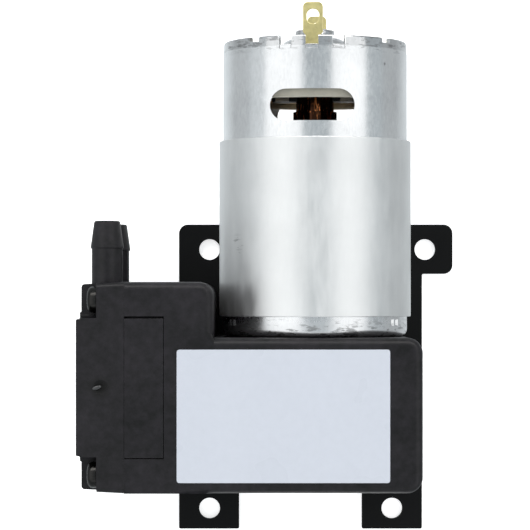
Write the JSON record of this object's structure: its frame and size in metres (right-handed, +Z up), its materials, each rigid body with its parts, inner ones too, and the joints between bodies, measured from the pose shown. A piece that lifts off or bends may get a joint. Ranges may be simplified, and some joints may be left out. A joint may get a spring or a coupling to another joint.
{
  "type": "mini vacuum pump",
  "caption": "Small brushed-motor diaphragm vacuum pump: L-shaped black housing with a square pump head and hose barbs, steel motor and a flat mounting bracket.",
  "frame": {"origin": "on the underside of the mounting bracket, under the motor shaft, midway between the bracket's two rows of holes", "axes": "+X from the pump head across to the plain side, +Y along the motor shaft towards the terminals, +Z up from the bracket"},
  "size_m": [0.0735, 0.1031, 0.0402],
  "materials": {
    "black_plastic": "fine matt moulded texture",
    "black_paint": "satin black coating on sheet steel",
    "black_screw": "black oxide",
    "zinc_screw": "bright zinc plate",
    "can_steel": "bright nickel-plated drawn steel",
    "ring_steel": "satin zinc-plated rolled steel",
    "spring_steel": "spring steel",
    "shaft_steel": "ground steel",
    "ferrite": "matt sintered ferrite",
    "core_steel": "stamped laminations",
    "winding_copper": "enamelled copper wire",
    "commutator_copper": "turned copper with a dark track",
    "fibre": "insulating fibre",
    "bronze": "oiled sintered bronze",
    "carbon": "pressed carbon",
    "holder_plastic": "grey-beige moulded plastic",
    "terminal_brass": "stamped brass",
    "cast_metal": "zinc die casting",
    "bearing_steel": "polished bearing steel",
    "rod_plastic": "natural nylon",
    "valve_plastic": "natural acetal",
    "black_rubber": "matt nitrile rubber",
    "seal_rubber": "silicone rubber",
    "label_film": "satin pale silver-blue film"
  },
  "bodies": {
    "housing": {"mounting_bracket": "black_paint", "bracket_screws": "black_screw", "rear_cover": "black_plastic", "crankcase": "black_plastic", "chamber_block": "black_plastic", "head_seal": "seal_rubber", "diaphragm": "black_rubber", "valve_plate": "valve_plastic", "pump_head": "black_plastic", "head_screws": "black_screw", "rating_label": "label_film", "motor_can": "can_steel", "flux_ring": "ring_steel", "magnets": "ferrite", "magnet_clips": "spring_steel", "front_bearing": "bronze", "motor_screws": "zinc_screw", "end_cap": "can_steel", "rear_bearing": "bronze", "brush_holder": "holder_plastic", "brush_arms": "bronze", "carbon_brushes": "carbon", "terminal_front": "terminal_brass", "terminal_rear": "terminal_brass"},
    "rotor": {"motor_shaft": "shaft_steel", "thrust_washers": "shaft_steel", "armature_core": "core_steel", "slot_insulators": "fibre", "armature_windings": "winding_copper", "commutator": "commutator_copper", "commutator_sleeve": "fibre", "eccentric": "cast_metal", "grub_screw": "black_screw", "bearing_inner_race": "bearing_steel"},
    "ball_train": {"bearing_balls": "bearing_steel", "ball_cage": "bronze"},
    "rod": {"bearing_outer_race": "bearing_steel", "connecting_rod": "rod_plastic", "diaphragm_washer": "zinc_screw", "diaphragm_screw": "zinc_screw"},
    "inlet_flap": {"inlet_flap": "black_rubber"},
    "outlet_flap": {"outlet_flap": "black_rubber"}
  },
  "joints": [
    {"name": "armature_spin", "type": "hinge", "parent": "housing", "child": "rotor", "pos_m": [0, -0.00045, 0.02075], "axis": [0, 1, 0], "continuous": true, "deforming": ["diaphragm"]},
    {"name": "ball_train_spin", "type": "hinge", "parent": "rotor", "child": "ball_train", "pos_m": [0.002, -0.00045, 0.02075], "axis": [0, 1, 0], "continuous": true},
    {"name": "rod_turn", "type": "hinge", "parent": "rotor", "child": "rod", "pos_m": [0.002, -0.00045, 0.02075], "axis": [0, 1, 0], "continuous": true},
    {"name": "inlet_flap_lift", "type": "hinge", "parent": "housing", "child": "inlet_flap", "pos_m": [-0.03635, 0.00405, 0.02725], "axis": [0, 0, 1], "range_deg": [0, 12], "stiffness_Nm_per_rad": 0.00005},
    {"name": "outlet_flap_lift", "type": "hinge", "parent": "housing", "child": "outlet_flap", "pos_m": [-0.0378, 0.00405, 0.01425], "axis": [0, 0, -1], "range_deg": [0, 12], "stiffness_Nm_per_rad": 0.00005}
  ],
  "couplings": [
    {"joint": "ball_train_spin", "follows": "armature_spin", "ratio": -0.5923},
    {"joint": "rod_turn", "follows": "armature_spin", "ratio": -1}
  ]
}
